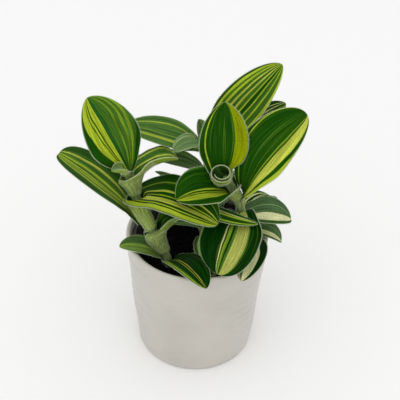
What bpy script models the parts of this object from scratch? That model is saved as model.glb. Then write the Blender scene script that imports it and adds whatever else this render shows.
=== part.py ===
"""A potted inch plant: a round ceramic pot, a thin inner pot, soil, three stems and their striped leaves.

Sizes in the tables are millimetres and angles are degrees. The viewer stands at -Y, +X is to the
viewer's right and +Z is up. The origin is the centre of the pot's underside.
"""

import bmesh
import bpy
import numpy as np

MM = 0.001
GAP = 0.3

# Pot, inner pot and soil
POT_HEIGHT = 88
POT_RIM_RADIUS = 45
POT_BASE_RADIUS = 37.4
POT_WALL = 2.8
POT_FLOOR = 3.0
LIP_ROUND = 1.5
FOOT_ROUND = 2.5
FLOOR_CORNER = 1.5
INNER_POT_TOP = 83
INNER_POT_BASE_RADIUS = 32
INNER_POT_WALL = 1.0
INNER_RIM_WIDTH = 0.8
INNER_RIM_DEPTH = 2.0
INNER_RIM_SPACE = 0.7
SOIL_TOP = 70
SOIL_DOME = 0.6
TURN_STEPS = 48
SHARP_ANGLE = 35

# Stems and leaves
STEM_RADIUS = 2.8
STEM_SPACING = 3.0
BLADE = 0.8
STEM_FOOT = 55
ARC_STEP = 0.5
SPINE_STATIONS = 121
THROAT_ROWS = 4
ROWS = 13
COLUMNS = 6
SLEEVE_ROWS = 18
SHEATH_STEP = 6
SLEEVE_COLUMNS = 8

STEMS = {
    "left_stem": [
        (-14, -12, STEM_FOOT), (-17, -13, 70), (-19.5, -13, 80), (-24, -12, 90), (-29, -11, 101),
        (-34, -9, 110.5), (-37.5, -7, 120), (-40.5, -5, 131.5), (-42, -4.5, 137),
    ],
    "right_stem": [
        (23, 3, STEM_FOOT), (26, 2, 70), (28, 0, 84), (28, -2, 97), (27, -4, 108),
        (23.5, -5, 121), (17.5, -6, 133.5), (15.3, -6.8, 137.4),
    ],
    "back_stem": [
        (3, 12, STEM_FOOT), (4, 12, 70), (4.5, 12, 86), (4.5, 12.5, 102),
        (5, 15, 118), (5.3, 18, 131), (5, 20, 141), (5, 20.4, 143.5),
    ],
}

# Every leaf has a node height on its stem, a heading and pitch where its blade starts, the angle its
# blade droops by, and the length and width of the blade. The rest of a leaf's form is named here.
LEAF_FORM = dict(
    side=None,  # heading of the face of the stem that the leaf base sits on
    bend=0,  # turn of the heading from the base to the tip
    roll=0,  # lift of the left edge about the midrib
    fold=10,  # angle of each half above flat at the midrib
    cup=15,  # further rise of each half from the midrib to its edge
    widest=0.42,  # widest place, as a share of the blade's length
    point=0.62,  # smaller gives a rounder tip
    swell=1.0,  # larger gives a narrower base
    sheath=1,  # length of the base that follows the stem
    throat=5,  # length over which the base turns into the blade
    grip=60,  # angle that each half of the base wraps round the stem
    flare=1.0,  # smaller widens the base sooner
    late=0.0,  # share of the throat that stays wrapped
    mouth=None,  # half width, fold and wrap of a funnel-shaped base where it starts to unroll
    lean=0.0,  # distance that the midrib moves away from the stem up to the mouth
    open=0.25,  # share of the blade over which the base unrolls
    settle=0.15,  # share of the blade over which the section turns to face up
    standoff=0.0,  # extra distance of the base from the stem
    furled=False,  # a rolled young leaf keeps its width to the end
    coil=0.0,  # share by which a rolled leaf's radius grows from the midrib to its left edge
    rows=ROWS,
    columns=COLUMNS,
)
SLEEVE = dict(grip=165, standoff=0.2, settle=0.3, rows=SLEEVE_ROWS, columns=SLEEVE_COLUMNS)


def leaf(stem, node, heading, pitch, droop, length, width, **form):
    sizes = dict(stem=stem, node=node, heading=heading, pitch=pitch, droop=droop, length=length, width=width)
    return {**LEAF_FORM, **sizes, **form}


LEAVES = {
    "front_left_rim_leaf": leaf("left_stem", 72, -57, 50, 69, 44, 22, fold=6, roll=-4, grip=50),
    "left_rim_leaf": leaf("left_stem", 76.4, -172, 50, 56, 26, 18, fold=8, grip=36),
    "left_shaded_leaf": leaf(
        "left_stem", 82.3, 12, 36, 70, 9, 28,
        fold=20, roll=-8, sheath=8, throat=16, flare=0.1, late=0.8, mouth=(26.5, 0, 158), lean=5,
        open=0.2, **SLEEVE,
    ),
    "left_low_leaf": leaf(
        "left_stem", 104.5, 174, 51.5, 28, 60, 31,
        bend=-15, fold=15, cup=10, side=150, widest=0.5, point=0.38, swell=1.5, grip=40, standoff=3.0,
    ),
    "left_wide_leaf": leaf(
        "left_stem", 100, -20, 10.5, 41, 43, 37,
        fold=12, cup=8, roll=1, sheath=18, throat=10, flare=0.3, late=0.3, mouth=(18.5, 18, 145), lean=2.5,
        open=0.1, **SLEEVE,
    ),
    "left_arching_leaf": leaf(
        "left_stem", 122.5, 8, 42, 43, 18, 29,
        fold=20, roll=-20, sheath=7, throat=10, flare=0.1, late=0.4, mouth=(21.5, 15, 150), lean=4,
        open=0.1, **SLEEVE,
    ),
    "left_upright_leaf": leaf(
        "left_stem", 134.4, 163, 67, 10, 49, 35,
        side=100, roll=-42, widest=0.42, point=0.6, swell=1.1, grip=38,
    ),
    "left_young_leaf": leaf("left_stem", 134.3, -155, 38, 20, 9, 13, side=-88, cup=80, grip=32),
    "front_right_rim_leaf": leaf("right_stem", 80, -68, 40, 62, 45, 22, bend=-48, grip=50),
    "right_rim_leaf": leaf("right_stem", 86, -6, 20, 75, 22, 17, side=22, grip=42),
    "front_hanging_leaf": leaf(
        "right_stem", 108.5, -101, 0, 57, 41.5, 38,
        bend=-18, roll=6, fold=0, cup=4, widest=0.5, point=0.5, flare=0.8, grip=60,
    ),
    "right_low_leaf": leaf("right_stem", 98, 8, 15, 50, 27, 25, side=40, fold=8, roll=6),
    "right_broad_leaf": leaf(
        "right_stem", 115, 10, 86, 52, 69, 33,
        side=-12, fold=6, cup=10, roll=48, widest=0.5, point=0.52, swell=1.6, grip=38,
    ),
    "middle_leaf": leaf(
        "right_stem", 121, -158, 25, 40, 29, 33,
        fold=16, cup=20, roll=-12, sheath=2, throat=9, flare=0.2, late=0.35, open=0.3, **SLEEVE,
    ),
    "right_upright_leaf": leaf(
        "right_stem", 133, 95, 81, -8, 46.5, 30.5, side=112, fold=6, widest=0.4, standoff=1.4,
    ),
    "furled_leaf": leaf(
        "right_stem", 135, 80, 108, 0, 3, 47,
        fold=0, cup=245, sheath=2, grip=165, standoff=0.2, furled=True, coil=0.25, columns=SLEEVE_COLUMNS,
    ),
    "front_narrow_leaf": leaf("back_stem", 98, -98, 37.5, 48, 52, 13, fold=4, cup=8, bend=104),
    "back_slender_leaf": leaf("back_stem", 102, 178, 40, 15, 31, 8, grip=30),
    "back_right_leaf": leaf("back_stem", 123, 15, 49, 12, 58, 26, side=0, roll=20),
    "back_left_leaf": leaf("back_stem", 121, -172, 35, 30, 27, 19),
    "back_long_leaf": leaf("back_stem", 134.6, 173, 17, 8, 47, 31, side=184, grip=46),
    "back_tall_leaf": leaf("back_stem", 136, 4, 59, 8, 68, 29, side=60, roll=50),
    "back_young_leaf": leaf(
        "back_stem", 138, -145, 43, 60, 25, 18, side=-75, cup=25, swell=2, grip=38, roll=4,
    ),
    "back_bud_leaf": leaf("back_stem", 141.4, 135, 76, 5, 11, 10, side=184, cup=30, grip=20),
    "front_inner_leaf": leaf("back_stem", 72, -84, 25, 30, 46, 18, grip=50),
    "inner_shaded_leaf": leaf("back_stem", 80, -160, 30, 20, 21, 10, grip=40),
    "rear_rim_leaf": leaf("back_stem", 76, 85, 30, 30, 46, 26),
    "rear_right_leaf": leaf("back_stem", 90, 60, 25, 40, 38, 24),
    "rear_side_leaf": leaf("right_stem", 90, 60, 16, 40, 34, 24, side=80),
}

GLAZE = ("off_white_glaze", (0.72, 0.70, 0.66), 0.55)
BLACK_PLASTIC = ("black_plastic", (0.012, 0.012, 0.013), 0.6)
DARK_SOIL = ("dark_soil", (0.02, 0.014, 0.01), 0.95)
STEM_GREEN = ("pale_stem_green", (0.30, 0.42, 0.16), 0.6)
LEAF_GREEN = ("striped_leaf_green", (0.07, 0.20, 0.03), 0.4)


def unit(vectors):
    return vectors / np.linalg.norm(vectors, axis=-1, keepdims=True)


def ramp(x):
    """Smooth step from 0 to 1."""
    x = np.clip(x, 0, 1)
    return x * x * (3 - 2 * x)


def direction(heading, pitch):
    """Unit vectors with this heading from +X about +Z and this pitch above level."""
    h, p = np.broadcast_arrays(np.radians(heading), np.radians(pitch))
    return np.stack([np.cos(p) * np.cos(h), np.cos(p) * np.sin(h), np.sin(p)], -1)


def at_stations(stations, known, values):
    """The rows of values, given at the known stations, read at other stations."""
    if values.ndim == 1:
        return np.interp(stations, known, values)
    return np.stack([np.interp(stations, known, column) for column in values.T], -1)


def stem_path(points):
    """A Catmull-Rom curve through the points: arc lengths, evenly spaced places and tangents."""
    p = np.array(points, float)
    ends = np.vstack([2 * p[0] - p[1], p, 2 * p[-1] - p[-2]])
    s = np.linspace(0, len(p) - 1, 40 * (len(p) - 1) + 1)[:-1]
    i = s.astype(int)
    t = (s - i)[:, None]
    a, b, c, d = ends[i], ends[i + 1], ends[i + 2], ends[i + 3]
    cubic = (3 * b - a - 3 * c + d) * t**3
    square = (2 * a - 5 * b + 4 * c - d) * t**2
    fine = np.vstack([0.5 * (2 * b + (c - a) * t + square + cubic), p[-1]])
    arc = np.concatenate([[0], np.cumsum(np.linalg.norm(np.diff(fine, axis=0), axis=1))])
    arcs = np.linspace(0, arc[-1], int(arc[-1] / ARC_STEP) + 1)
    even = at_stations(arcs, arc, fine)
    return arcs, even, unit(np.gradient(even, axis=0))


def leaf_frame(form):
    """The midrib of a leaf and its section at even stations along it.

    The midrib starts beside the stem, follows it for the sheath, and turns through the throat to the
    blade's own heading and pitch. The section's axes turn with it from the stem to the blade. Up to the
    mouth of a funnel-shaped base the midrib also leans away from the stem.
    """
    arcs, path, tangents = stem_path(STEMS[form["stem"]])
    node = np.interp(form["node"], path[:, 2], arcs)
    side = form["heading"] if form["side"] is None else form["side"]
    sheath, throat, length = form["sheath"], form["throat"], form["length"]
    q = np.linspace(0, sheath + throat + length, SPINE_STATIONS)
    tangent = unit(at_stations(node + q, arcs, tangents))
    outward = direction(side, 0) * np.ones((len(q), 1))
    outward = unit(outward - (outward * tangent).sum(1, keepdims=True) * tangent)
    leave = ramp((q - sheath) / throat)[:, None]
    along_blade = np.clip((q - sheath - throat / 2) / (length + throat / 2), 0, 1)
    heading = form["heading"] + form["bend"] * along_blade
    blade = direction(heading, form["pitch"] - form["droop"] * along_blade)
    along = unit(tangent * (1 - leave) + blade * leave)
    level = direction(heading + 90, 0)
    roll = np.radians(form["roll"])
    across = level * np.cos(roll) + np.cross(blade, level) * np.sin(roll)
    wrapped = form["late"] * throat
    settling = 0.6 * (throat - wrapped) + form["settle"] * length
    tilt = ramp((q - sheath - wrapped - 0.4 * (throat - wrapped)) / settling)[:, None]
    side_axis = unit(np.cross(tangent, outward) * (1 - tilt) + across * tilt)
    face = np.cross(blade, across) * tilt - outward * (1 - tilt)
    face = unit(face - (face * side_axis).sum(1, keepdims=True) * side_axis)
    held = np.minimum(np.arange(len(q)), np.searchsorted(q, sheath + throat))
    steps = (along[1:] + along[:-1]) / 2 * (q[1] - q[0])
    travelled = np.vstack([np.zeros((1, 3)), np.cumsum(steps, axis=0)])
    reach = grip_radius(form) + form["lean"] * np.clip(q / (sheath + wrapped), 0, 1)[:, None] ** 1.4
    midrib = at_stations(np.array([node]), arcs, path) + reach * outward[held] + travelled
    return q, midrib, side_axis, face


def grip_radius(form):
    return STEM_RADIUS + GAP + BLADE / 2 + form["standoff"]


def leaf_section(form, q):
    """Half width, half angle, fold and coil of the leaf's arc-shaped section at each station.

    The base grips the stem. A funnel-shaped one widens to its mouth, and then half width, half angle and
    fold go over to those of the blade. A rolled leaf coils up as it opens.
    """
    sheath, throat, length = form["sheath"], form["throat"], form["length"]
    mouth = sheath + throat
    start = sheath + form["late"] * throat
    half, wrap, fold = grip_radius(form) * np.radians(form["grip"]), np.radians(form["grip"]), 0.0
    if form["mouth"]:
        wide, folded, wrapped = form["mouth"]
        flaring = np.clip(q / start, 0, 1) ** 1.4
        half = half + (wide - half) * flaring
        wrap = wrap + (np.radians(wrapped) - wrap) * flaring
        fold = fold + np.radians(folded) * flaring
    growing = (q - start) / (mouth - start + form["flare"] * form["widest"] * length)
    growth = np.sin(np.pi / 2 * np.clip(growing, 0, 1)) ** form["swell"]
    half = half + (form["width"] / 2 - half) * growth
    if not form["furled"]:
        narrowing = (q - mouth - form["widest"] * length) / ((1 - form["widest"]) * length)
        half = half * (1 - np.clip(narrowing, 0, 1) ** 2) ** form["point"]
    opening = ramp((q - start) / (mouth - start + form["open"] * length))
    wrap = wrap + (np.radians(form["cup"]) - wrap) * opening
    coil = form["coil"] * ramp(3 * opening)
    folding = ramp((q - sheath - throat / 2) / (throat / 2 + 0.3 * length))
    fold = fold + (np.radians(form["fold"]) - fold) * folding
    return half, wrap, fold, coil


def leaf_rows(form):
    """Stations of the rows of the sheet: even in the throat and closer together towards the tip."""
    sheath = form["sheath"]
    mouth = sheath + form["throat"]
    base_rows = 1 + int(sheath / SHEATH_STEP)
    share = np.linspace(0, 1, form["rows"] - base_rows - THROAT_ROWS + 1)[1:]
    ease = np.sin(np.pi / 2 * share**1.3)
    base = np.linspace(0, sheath, base_rows + 1)[:-1]
    return np.concatenate([base, np.linspace(sheath, mouth, THROAT_ROWS), mouth + form["length"] * ease])


def leaf_points(form):
    """The sheet of a leaf: rows of points along it, from its left edge to its right edge.

    Each half of a row is an arc that leaves the midrib at the fold angle and turns by the half angle.
    """
    q, midrib, side_axis, face = leaf_frame(form)
    half, wrap, fold, coil = leaf_section(form, q)
    rows = leaf_rows(form)
    midrib, side_axis, face = (at_stations(rows, q, v)[:, None] for v in (midrib, side_axis, face))
    half, wrap, fold, coil = (at_stations(rows, q, v)[:, None] for v in (half, wrap, fold, coil))
    u = np.linspace(-1, 1, form["columns"] + 1)[None, :]
    angle = fold + np.abs(u) * wrap
    radius = half / wrap
    x = radius * (np.sin(angle) - np.sin(fold)) * np.sign(u) * (1 + coil * u)
    y = radius * (np.cos(fold) - np.cos(angle) * (1 + coil * u))
    return midrib + x[..., None] * side_axis + y[..., None] * face


def cell_triangles(corners, mirrored):
    """Two triangles of a cell, with its diagonal leaning to the midrib on either side of it."""
    a, b, c, d = corners
    return [(a, b, d), (b, c, d)] if mirrored else [(a, b, c), (a, c, d)]


def leaf_mesh(points, pointed):
    """Vertices and triangles of a sheet, whose last row is one point when the leaf is pointed."""
    rows, columns = points.shape[:2]
    index = np.arange(rows * columns).reshape(rows, columns)
    if pointed:
        index[-1] = index[-1, 0]
    triangles = []
    for i in range(rows - 1):
        for j in range(columns - 1):
            corners = (index[i, j], index[i + 1, j], index[i + 1, j + 1], index[i, j + 1])
            cell = cell_triangles(corners, 2 * j >= columns - 1)
            triangles += [tuple(map(int, t)) for t in cell if len(set(t)) == 3]
    count = rows * columns - (columns - 1 if pointed else 0)
    return points.reshape(-1, 3)[:count], triangles


def material(name, color, roughness):
    made = bpy.data.materials.new(name)
    made.use_nodes = True
    shader = made.node_tree.nodes["Principled BSDF"]
    shader.inputs["Base Color"].default_value = (*color, 1)
    shader.inputs["Roughness"].default_value = roughness
    return made


def add_object(name, data, look, collection):
    """Adds an object with a material of its own."""
    made = bpy.data.objects.new(name, data)
    collection.objects.link(made)
    if look:
        kind, color, roughness = look
        data.materials.append(material(f"{name}_{kind}", color, roughness))
    return made


def sheet_object(name, form, collection):
    """A leaf: its sheet of points, thickened evenly to both sides."""
    points, triangles = leaf_mesh(leaf_points(form), not form["furled"])
    data = bpy.data.meshes.new(name)
    data.from_pydata((points * MM).tolist(), [], triangles)
    made = add_object(name, data, LEAF_GREEN, collection)
    thick = made.modifiers.new("thickness", "SOLIDIFY")
    thick.thickness = BLADE * MM
    thick.offset = 0
    data.shade_smooth()
    return made


def tube_curve(name, path, radius):
    """A poly curve with a round section and closed ends."""
    data = bpy.data.curves.new(name, "CURVE")
    data.dimensions = "3D"
    data.bevel_depth = radius * MM
    data.bevel_resolution = 2
    data.use_fill_caps = True
    spline = data.splines.new("POLY")
    spline.points.add(len(path) - 1)
    for point, place in zip(spline.points, path * MM):
        point.co = (*place, 1)
    return data


def stem_places(points):
    """Places along a stem about one spacing apart."""
    arcs, even, _ = stem_path(points)
    count = int(round(arcs[-1] / STEM_SPACING)) + 1
    return at_stations(np.linspace(0, arcs[-1], count), arcs, even)


def stem_cutter(name, path, collection):
    """A tube round a stem, one gap larger all over, as a closed mesh for cutting."""
    longer = path.copy()
    longer[0] += unit(path[0] - path[1]) * GAP
    curve = bpy.data.objects.new(name + "_curve", tube_curve(name, longer, STEM_RADIUS + GAP))
    collection.objects.link(curve)
    bpy.context.view_layer.update()
    graph = bpy.context.evaluated_depsgraph_get()
    data = bpy.data.meshes.new_from_object(curve.evaluated_get(graph))
    weld(data)
    cutter = add_object(name, data, None, collection)
    cutter.matrix_world = curve.matrix_world
    bpy.data.objects.remove(curve)
    cutter.hide_render = True
    cutter.display_type = "WIRE"
    return cutter


def weld(data):
    """Joins the end caps of a converted curve to its side."""
    mesh = bmesh.new()
    mesh.from_mesh(data)
    bmesh.ops.remove_doubles(mesh, verts=mesh.verts, dist=0.00001)
    bmesh.ops.recalc_face_normals(mesh, faces=mesh.faces)
    mesh.to_mesh(data)
    mesh.free()


def turned_object(name, profile, look, collection):
    """A turned solid. The profile runs up the inside, over the top and down the outer side."""
    data = bpy.data.meshes.new(name)
    points = [(r * MM, 0, z * MM) for r, z in profile]
    edges = [(i, i + 1) for i in range(len(points) - 1)]
    data.from_pydata(points, edges, [])
    made = add_object(name, data, look, collection)
    turn = made.modifiers.new("turn", "SCREW")
    turn.steps = TURN_STEPS
    turn.render_steps = TURN_STEPS
    turn.use_merge_vertices = True
    turn.merge_threshold = 0.0001
    keep_turned_mesh(made)
    return made


def keep_turned_mesh(made):
    """Gives a turned object its finished mesh, smooth apart from its corners."""
    bpy.context.view_layer.update()
    graph = bpy.context.evaluated_depsgraph_get()
    made.data = bpy.data.meshes.new_from_object(made.evaluated_get(graph))
    made.modifiers.clear()
    made.data.shade_smooth()
    made.data.set_sharp_from_angle(angle=np.radians(SHARP_ANGLE))


def pot_radius(z):
    """Outer radius of the pot's straight wall."""
    return POT_BASE_RADIUS + (POT_RIM_RADIUS - POT_BASE_RADIUS) * z / POT_HEIGHT


def pot_profile():
    """The pot: flat floor and foot, leaning wall, and a lip and foot edge rounded in quarter turns."""
    shoulder = POT_HEIGHT - LIP_ROUND
    lip = pot_radius(shoulder) - POT_WALL / 2
    over = np.radians([180, 135, 90, 45, 0])
    under = np.radians([0, 45, 90])
    foot = pot_radius(FOOT_ROUND) - FOOT_ROUND
    return [
        (0, POT_FLOOR),
        (pot_radius(POT_FLOOR) - POT_WALL - FLOOR_CORNER, POT_FLOOR),
        (pot_radius(POT_FLOOR + FLOOR_CORNER) - POT_WALL, POT_FLOOR + FLOOR_CORNER),
        *zip(lip + POT_WALL / 2 * np.cos(over), shoulder + LIP_ROUND * np.sin(over)),
        *zip(foot + FOOT_ROUND * np.cos(under), FOOT_ROUND - FOOT_ROUND * np.sin(under)),
        (0, 0),
    ]


def inner_pot_radius(z):
    """Outer radius of the inner pot's wall, which leans like the pot's."""
    top = pot_radius(INNER_POT_TOP) - POT_WALL - GAP - INNER_RIM_WIDTH - INNER_RIM_SPACE
    lift = (z - POT_FLOOR) / (INNER_POT_TOP - POT_FLOOR)
    return INNER_POT_BASE_RADIUS + (top - INNER_POT_BASE_RADIUS) * lift


def inner_pot_profile():
    """The thin inner pot: it stands one gap above the pot's floor and ends in a small rim."""
    foot = POT_FLOOR + GAP
    floor = foot + INNER_POT_WALL
    rim_foot = INNER_POT_TOP - INNER_RIM_DEPTH
    return [
        (0, floor),
        (inner_pot_radius(floor) - INNER_POT_WALL, floor),
        (inner_pot_radius(INNER_POT_TOP) - INNER_POT_WALL, INNER_POT_TOP),
        (inner_pot_radius(INNER_POT_TOP) + INNER_RIM_WIDTH, INNER_POT_TOP),
        (inner_pot_radius(rim_foot) + INNER_RIM_WIDTH, rim_foot),
        (inner_pot_radius(rim_foot), rim_foot - INNER_RIM_WIDTH),
        (inner_pot_radius(foot), foot),
        (0, foot),
    ]


def soil_profile():
    """The soil: one gap inside the inner pot, with a slightly domed top."""
    foot = POT_FLOOR + GAP + INNER_POT_WALL + GAP
    inset = INNER_POT_WALL + GAP
    return [
        (0, SOIL_TOP + SOIL_DOME),
        (inner_pot_radius(SOIL_TOP) / 2, SOIL_TOP + 0.7 * SOIL_DOME),
        (inner_pot_radius(SOIL_TOP) - inset, SOIL_TOP),
        (inner_pot_radius(foot) - inset, foot),
        (0, foot),
    ]


def build():
    for old in list(bpy.data.objects):
        bpy.data.objects.remove(old)
    scene = bpy.context.scene.collection
    plant = bpy.data.collections.new("potted_inch_plant")
    cutters = bpy.data.collections.new("cutters")
    scene.children.link(plant)
    scene.children.link(cutters)
    cutters.hide_render = True

    turned_object("ceramic_pot", pot_profile(), GLAZE, plant)
    turned_object("nursery_pot", inner_pot_profile(), BLACK_PLASTIC, plant)
    soil = turned_object("soil", soil_profile(), DARK_SOIL, plant)
    for name, points in STEMS.items():
        path = stem_places(points)
        add_object(name, tube_curve(name, path, STEM_RADIUS), STEM_GREEN, plant)
        hole = soil.modifiers.new(name + "_hole", "BOOLEAN")
        hole.operation = "DIFFERENCE"
        hole.solver = "EXACT"
        hole.object = stem_cutter(name + "_hole", path, cutters)
    for name, form in LEAVES.items():
        sheet_object(name, form, plant)


build()
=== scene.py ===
"""Looks of a potted inch plant: striped satin leaves with fine hairs, pale stems, dark soil and a glazed pot.

Tables and formulas are in millimetres and degrees; meshes are written in metres. The viewer stands at
-Y, +X is to the viewer's right and +Z is up. Colours are given as display values from 0 to 255.
"""

import bmesh
import bpy
import numpy as np
from mathutils import Matrix, Vector


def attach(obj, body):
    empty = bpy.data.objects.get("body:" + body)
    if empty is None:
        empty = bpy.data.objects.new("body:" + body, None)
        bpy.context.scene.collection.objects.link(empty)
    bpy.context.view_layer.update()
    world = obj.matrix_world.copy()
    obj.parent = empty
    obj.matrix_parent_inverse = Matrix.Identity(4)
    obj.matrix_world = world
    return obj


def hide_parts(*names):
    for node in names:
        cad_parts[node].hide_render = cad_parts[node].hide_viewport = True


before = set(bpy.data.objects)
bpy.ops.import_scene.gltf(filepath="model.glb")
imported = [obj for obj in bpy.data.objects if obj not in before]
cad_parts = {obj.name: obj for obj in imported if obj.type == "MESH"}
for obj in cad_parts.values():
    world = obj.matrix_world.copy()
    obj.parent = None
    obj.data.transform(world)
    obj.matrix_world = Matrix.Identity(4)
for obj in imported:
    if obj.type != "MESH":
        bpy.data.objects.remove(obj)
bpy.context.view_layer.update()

MM = 0.001
ROOT = "root"

# Pot, inner pot and soil
POT_HEIGHT = 88
POT_RIM_RADIUS = 45
POT_BASE_RADIUS = 37.4
POT_WALL = 2.8
POT_FLOOR = 3.0
LIP_ROUND = 1.5
FOOT_ROUND = 2.5
FLOOR_CORNER = 1.5
RIDGE_HEIGHT = 0.65
RIDGE_SPACING = 7.0
INNER_POT_TOP = 83
INNER_POT_BASE_RADIUS = 32
INNER_POT_WALL = 1.0
INNER_RIM_WIDTH = 0.8
INNER_RIM_DEPTH = 2.0
INNER_RIM_SPACE = 0.7
INNER_RIM_BEVEL = 0.3
INNER_EDGE_BEVEL = 0.2
SOIL_TOP = 70
GAP = 0.3
TURN_STEPS = 192
WALL_STEPS = 110
INSIDE_STEPS = 12
LIP_STEPS = 13
FOOT_STEPS = 9
SHARP_ANGLE = 40

# Lumps of soil: how many are strewn, their radii, their lift, and the space they leave inside the inner
# pot and round a stem
CRUMBS = 1500
CRUMB_RADII = (0.35, 1.3)
CRUMB_LIFT = 0.3
CRUMB_POT_SPACE = 1.2
CRUMB_STEM_SPACE = 1.4
CRUMB_SEED = 11

# Stems and leaves
STEM_RADIUS = 2.8
STEM_FOOT = 55
STEM_SIDES = 40
STEM_TOP_ROUND = 2.5
NODE_SWELL = 0.07
NODE_REACH = 1.6
ARC_STEP = 0.5
SPINE_STATIONS = 241
BLADE = 0.8
EDGE_SHARE = 0.4
BLADE_ROWS = 46
BASE_STEP = 1.0
COLUMNS = 32
SLEEVE_COLUMNS = 56
FULL_GRIP = 165

# Hairs: their sizes, their spacing along an edge, how many stand on each row of a sleeve and on each
# millimetre of a stem, and how deep they are rooted
HAIR_RADIUS = 0.05
HAIR_ROOT = 0.1
MARGIN_HAIR = 1.05
MARGIN_HAIR_STEP = 0.26
FUZZ_HAIR = 0.85
SLEEVE_HAIRS = 110
STEM_HAIRS = 6
HAIR_SEEDS = {"left_stem": 89, "right_stem": 133, "back_stem": 106}

# Camera, lamp and stage: angles in degrees, lens and sensor in millimetres, places in metres
CAMERA_DOWN = 39.2
CAMERA_ROLL = 1.63
CAMERA_DISTANCE = 0.65
CAMERA_TARGET = (0.0012, 0.0, 0.1136)
CAMERA_LENS = 95.0
CAMERA_SENSOR = 36.0
LAMP_PLACE = (-0.4, -1.3, 2.5)
LAMP_TARGET = (0, 0, 0.1)
LAMP_SIZE = 2.6
LAMP_POWER = 12.0
SURROUND = 0.88
FLOOR_REACH = 3.0

STEMS = {
    "left_stem": [
        (-14, -12, STEM_FOOT), (-17, -13, 70), (-19.5, -13, 80), (-24, -12, 90), (-29, -11, 101),
        (-34, -9, 110.5), (-37.5, -7, 120), (-40.5, -5, 131.5), (-42, -4.5, 137),
    ],
    "right_stem": [
        (23, 3, STEM_FOOT), (26, 2, 70), (28, 0, 84), (28, -2, 97), (27, -4, 108),
        (23.5, -5, 121), (17.5, -6, 133.5), (15.3, -6.8, 137.4),
    ],
    "back_stem": [
        (3, 12, STEM_FOOT), (4, 12, 70), (4.5, 12, 86), (4.5, 12.5, 102),
        (5, 15, 118), (5.3, 18, 131), (5, 20, 141), (5, 20.4, 143.5),
    ],
}

# Every leaf has a node height on its stem, a heading and pitch where its blade starts, the angle its
# blade droops by, the length and width of the blade, and its stripes. The rest of its form is named here.
LEAF_FORM = dict(
    side=None,  # heading of the face of the stem that the leaf base sits on
    bend=0,  # turn of the heading from the base to the tip
    roll=0,  # lift of the left edge about the midrib
    fold=10,  # angle of each half above flat at the midrib
    cup=15,  # further rise of each half from the midrib to its edge
    widest=0.42,  # widest place, as a share of the blade's length
    point=0.62,  # smaller gives a rounder tip
    swell=1.0,  # larger gives a narrower base
    sheath=1,  # length of the base that follows the stem
    throat=5,  # length over which the base turns into the blade
    grip=60,  # angle that each half of the base wraps round the stem
    flare=1.0,  # smaller widens the base sooner
    late=0.0,  # share of the throat that stays wrapped
    mouth=None,  # half width, fold and wrap of a funnel-shaped base where it starts to unroll
    lean=0.0,  # distance that the midrib moves away from the stem up to the mouth
    open=0.25,  # share of the blade over which the base unrolls
    settle=0.15,  # share of the blade over which the section turns to face up
    standoff=0.0,  # extra distance of the base from the stem
    furled=False,  # a rolled young leaf keeps its width to the end
    coil=0.0,  # share by which a rolled leaf's radius grows from the midrib to its left edge
    columns=COLUMNS,
    fuzz=0.0,  # how grey and hairy the upper face is
    fan=0.0,  # how much the bands spread from the base to the tip
)
# A base that wraps nearly all the way round its stem
SLEEVE = dict(grip=FULL_GRIP, standoff=0.2, settle=0.3, columns=SLEEVE_COLUMNS)

# Tones of the bands on a leaf, then the colours of the other surfaces
TONES = {
    "dark": (6, 48, 4),
    "deep": (26, 74, 6),
    "blue": (34, 86, 30),
    "dusky": (72, 102, 66),
    "green": (64, 108, 32),
    "olive": (118, 148, 36),
    "gold": (138, 152, 6),
    "lime": (170, 190, 48),
    "butter": (188, 198, 76),
    "straw": (168, 174, 86),
    "cream": (204, 206, 142),
    "ivory": (232, 230, 178),
    "grey": (118, 146, 94),
}
UNDERSIDE = (152, 172, 66)
MARGIN = (204, 214, 180)
HAIR = (226, 232, 212)
PALE_STEM = (140, 158, 98)
STEM_STREAK = (106, 130, 62)
STEM_FLECK = (84, 112, 52)
GLAZE_SHADE = (188, 184, 175)
GLAZE_LIGHT = (196, 192, 183)
GLAZE_SPECK = (188, 182, 172)
PLASTIC = (26, 28, 29)
PLASTIC_DUST = (62, 62, 58)
# Soil tones: the soil's own dark brown made near black with painted shade, on the grains and crumbs too
SOIL_PAINTED_SHADE = (3, 3, 4)
SOIL_GRAIN = (15, 12, 11)
PALE_FLOOR = (252, 252, 252)

# Skin of a leaf: softness and sway of the bands as shares of the width, how finely veins and streaks
# lie across and along it, how fine the mottle is per metre, and where the pale margin starts and is full
BAND_SOFTNESS = 0.006
BAND_SWAY = 0.07
VEINS_ACROSS = 30.0
STREAKS_ACROSS = 70.0
STREAKS_ALONG = 2.2
MOTTLE_SCALE = 1400.0
MARGIN_START = 0.484
MARGIN_FULL = 0.493
LEAF_SHINE = 0.02


def leaf(stem, node, heading, pitch, droop, length, width, stripes, **form):
    """A leaf's own sizes, stripes and form over the common form."""
    sizes = dict(stem=stem, node=node, heading=heading, pitch=pitch, droop=droop, length=length, width=width)
    return {**LEAF_FORM, **sizes, "stripes": stripes, **form}


# Stripes run from a leaf's right edge to its left edge: where each band ends, as a share of the half
# width from -1 to 1, and its tone. These four lists are each shared by several leaves.
PLAIN_STRIPES = [
    (-0.9, "deep"), (-0.72, "green"), (-0.6, "cream"), (-0.45, "deep"), (-0.36, "lime"), (-0.1, "deep"),
    (0.0, "olive"), (0.3, "deep"), (0.38, "cream"), (0.55, "deep"), (0.65, "cream"), (1, "deep"),
]
CREAM_STRIPES = [
    (-0.64, "deep"), (0.06, "ivory"), (0.12, "green"), (0.5, "dusky"), (0.56, "grey"), (1, "dusky"),
]
SOFT_STRIPES = [
    (-0.8, "green"), (-0.6, "grey"), (-0.4, "blue"), (-0.25, "grey"), (0.1, "green"), (0.3, "grey"),
    (0.5, "green"), (0.7, "grey"), (1, "green"),
]
YOUNG_STRIPES = [
    (-0.86, "green"), (-0.74, "cream"), (-0.36, "green"), (-0.26, "grey"), (0.1, "deep"), (0.2, "grey"),
    (0.6, "green"), (0.72, "cream"), (1, "green"),
]

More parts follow.
